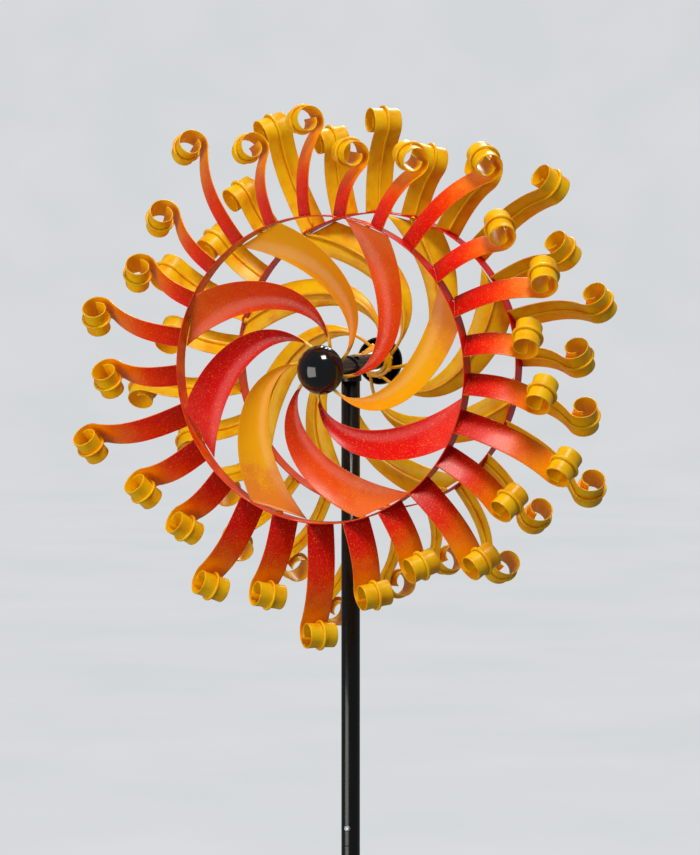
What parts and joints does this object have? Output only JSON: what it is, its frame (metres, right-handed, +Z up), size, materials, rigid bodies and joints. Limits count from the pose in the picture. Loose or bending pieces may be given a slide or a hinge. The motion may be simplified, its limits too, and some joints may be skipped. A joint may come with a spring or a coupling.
{
  "type": "kinetic wind sculpture",
  "caption": "Garden wind spinner: two sun-shaped wheels of curled rays and swirled blades turn freely on one axle at the top of a sectional pole with a ground stake.",
  "frame": {"origin": "where the pole's axis meets the ground", "axes": "+Z up along the pole, axle along Y, front wheel on the -Y side"},
  "size_m": [0.5873, 0.2264, 1.8905],
  "materials": {
    "black_enamel": "gloss black baked enamel on steel tube",
    "cap_black_enamel": "high-gloss black enamel",
    "black_plastic": "moulded nylon",
    "zinc_steel": "zinc-plated",
    "bearing_steel": "ground bright",
    "hoop_red_enamel": "high-gloss sprayed enamel, red over orange",
    "hub_yellow_enamel": "high-gloss sprayed enamel",
    "blade_red_enamel": "high-gloss sprayed enamel, red",
    "blade_orange_enamel": "high-gloss sprayed enamel, orange to red",
    "blade_yellow_enamel": "high-gloss sprayed enamel, yellow",
    "ray_flame_enamel": "high-gloss sprayed enamel, red at the hoop through orange to yellow at the curl"
  },
  "bodies": {
    "stand": {"center_spike": "black_enamel", "side_spikes": "black_enamel", "step_bar": "black_enamel", "stake_socket": "black_enamel", "pole_lower": "black_enamel", "pole_middle": "black_enamel", "pole_upper": "black_enamel", "pole_screws": "zinc_steel", "head_tube": "black_enamel", "head_saddle": "black_enamel", "tube_plugs": "black_plastic", "axle_rod": "zinc_steel", "axle_washers": "zinc_steel", "lock_nuts": "zinc_steel", "race_spacers": "zinc_steel", "bearing_inner_races": "bearing_steel", "bearing_balls": "bearing_steel"},
    "front_wheel": {"front_hoop": "hoop_red_enamel", "front_hub_barrel": "hub_yellow_enamel", "front_hub_disc": "hub_yellow_enamel", "front_outer_races": "bearing_steel", "front_cap": "cap_black_enamel", "front_blade_rods": "hub_yellow_enamel", "front_blade_1": "blade_orange_enamel", "front_blade_2": "blade_yellow_enamel", "front_blade_3": "blade_red_enamel", "front_blade_4": "blade_orange_enamel", "front_blade_5": "blade_yellow_enamel", "front_blade_6": "blade_red_enamel", "front_blade_7": "blade_orange_enamel", "front_blade_8": "blade_yellow_enamel", "front_rays_short": "ray_flame_enamel", "front_rays_low": "ray_flame_enamel", "front_rays_long": "ray_flame_enamel", "front_rays_mid": "ray_flame_enamel", "front_rays_high": "ray_flame_enamel"},
    "rear_wheel": {"rear_hoop": "hoop_red_enamel", "rear_hub_barrel": "hub_yellow_enamel", "rear_hub_disc": "hub_yellow_enamel", "rear_outer_races": "bearing_steel", "rear_cap": "cap_black_enamel", "rear_blade_rods": "hub_yellow_enamel", "rear_blade_1": "blade_orange_enamel", "rear_blade_2": "blade_yellow_enamel", "rear_blade_3": "blade_red_enamel", "rear_blade_4": "blade_orange_enamel", "rear_blade_5": "blade_yellow_enamel", "rear_blade_6": "blade_red_enamel", "rear_blade_7": "blade_orange_enamel", "rear_blade_8": "blade_yellow_enamel", "rear_rays_short": "ray_flame_enamel", "rear_rays_low": "ray_flame_enamel", "rear_rays_long": "ray_flame_enamel", "rear_rays_mid": "ray_flame_enamel", "rear_rays_high": "ray_flame_enamel"}
  },
  "joints": [
    {"name": "front_spin", "type": "hinge", "parent": "stand", "child": "front_wheel", "pos_m": [0, -0.086, 1.4], "axis": [0, 1, 0], "continuous": true},
    {"name": "rear_spin", "type": "hinge", "parent": "stand", "child": "rear_wheel", "pos_m": [0, 0.086, 1.4], "axis": [0, 1, 0], "continuous": true}
  ]
}
